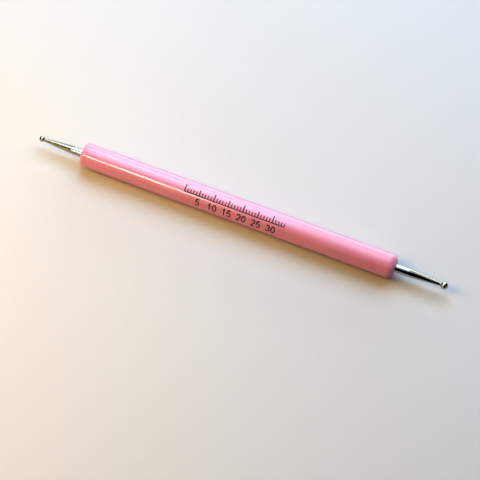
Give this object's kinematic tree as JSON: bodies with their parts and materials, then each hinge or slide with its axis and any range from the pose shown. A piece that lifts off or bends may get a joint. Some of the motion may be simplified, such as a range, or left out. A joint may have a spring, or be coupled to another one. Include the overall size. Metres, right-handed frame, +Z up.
{
  "type": "ball stylus",
  "caption": "Double-ended ball stylus: straight round plastic handle with a tapered steel stem and a small steel ball at one end, and a larger ball at the other.",
  "frame": {"origin": "middle of the tool's overall length, on the flat surface it lies on, straight below its axis", "axes": "+X along the tool's axis towards the large ball, +Z up from the surface it lies on"},
  "size_m": [0.1406, 0.008, 0.008],
  "materials": {
    "handle_plastic": "gloss",
    "stem_steel": "polished",
    "ball_steel": "polished",
    "cured_adhesive": "gloss"
  },
  "bodies": {
    "root": {"handle": "handle_plastic", "stem_small": "stem_steel", "ball_small": "ball_steel", "adhesive_small_end": "cured_adhesive", "stem_large": "stem_steel", "ball_large": "ball_steel", "adhesive_large_end": "cured_adhesive"}
  },
  "joints": []
}
